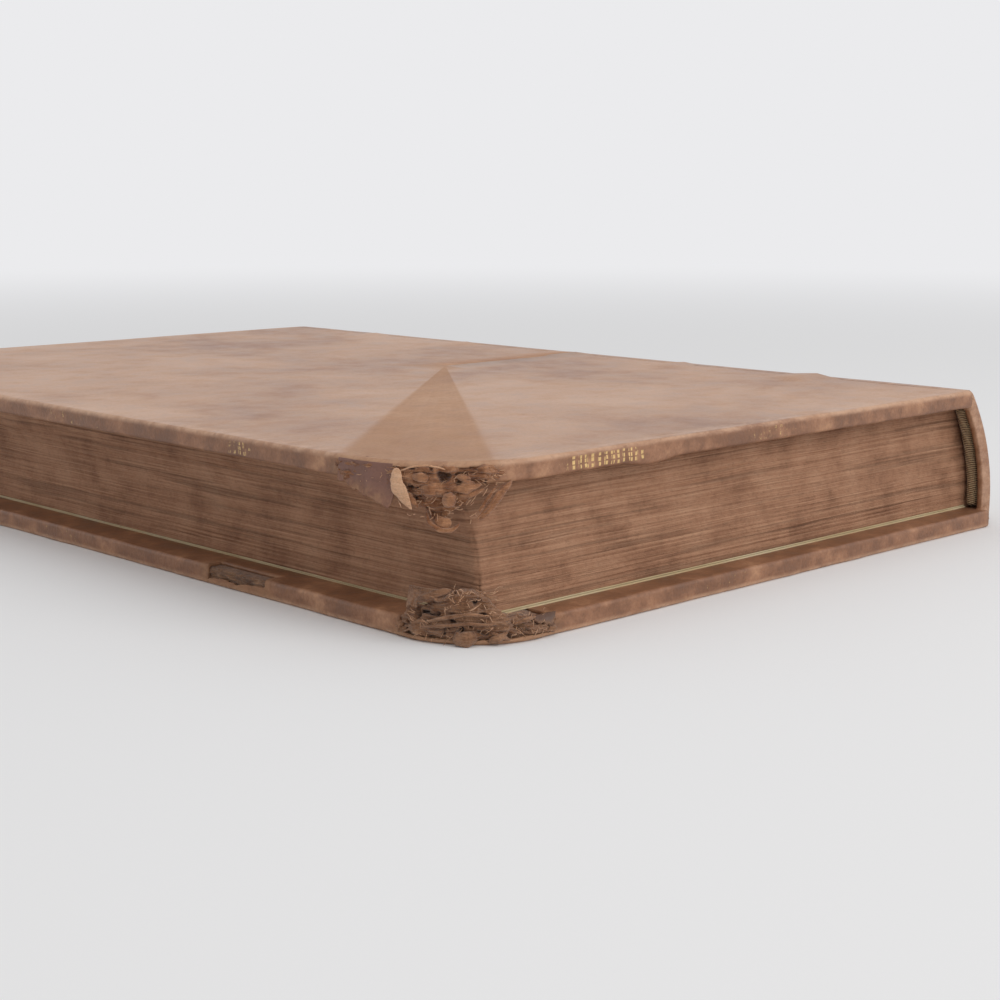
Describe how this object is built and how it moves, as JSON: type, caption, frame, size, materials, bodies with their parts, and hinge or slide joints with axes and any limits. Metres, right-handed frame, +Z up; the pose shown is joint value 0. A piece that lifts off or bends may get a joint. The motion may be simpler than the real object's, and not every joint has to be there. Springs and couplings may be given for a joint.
{
  "type": "antique leather-bound book",
  "caption": "Worn old calf-bound book lying shut: laced pasteboard covers with frayed corners, browned leaves, raised bands on a tight back.",
  "frame": {"origin": "middle of the underside of the box around the closed book, as it lies on its back cover", "axes": "+Z up out of the front cover, +X from the spine towards the fore edge, +Y from the tail towards the head"},
  "size_m": [0.2096, 0.3042, 0.038],
  "materials": {
    "calf_leather": "worn, mottled brown calf with a dull polish",
    "pasteboard": "browned pasteboard, split into fibrous layers at the worn corners",
    "old_paper": "browned rag paper, dusty at the edges",
    "hemp_cord": "aged hemp cord",
    "worked_thread": "faded thread worked over a rolled core"
  },
  "bodies": {
    "text_block": {"text_block": "old_paper", "back_flyleaf": "old_paper", "front_flyleaf": "old_paper", "spine_lining": "old_paper", "spine_leather": "calf_leather", "headband": "worked_thread", "tailband": "worked_thread", "sewing_cord_1": "hemp_cord", "sewing_cord_2": "hemp_cord", "sewing_cord_3": "hemp_cord", "sewing_cord_4": "hemp_cord", "sewing_cord_5": "hemp_cord"},
    "front_cover": {"front_leather": "calf_leather", "front_board": "pasteboard", "front_pastedown": "old_paper", "front_cord_lacings": "hemp_cord"},
    "back_cover": {"back_leather": "calf_leather", "back_board": "pasteboard", "back_pastedown": "old_paper", "back_cord_lacings": "hemp_cord"}
  },
  "joints": [
    {"name": "front_cover_hinge", "type": "hinge", "parent": "text_block", "child": "front_cover", "pos_m": [-0.09221, 0, 0.03815], "axis": [0, -1, 0], "range_deg": [0, 175]},
    {"name": "back_cover_hinge", "type": "hinge", "parent": "text_block", "child": "back_cover", "pos_m": [-0.09681, 0, -0.00015], "axis": [0, 1, 0], "range_deg": [0, 175]}
  ]
}
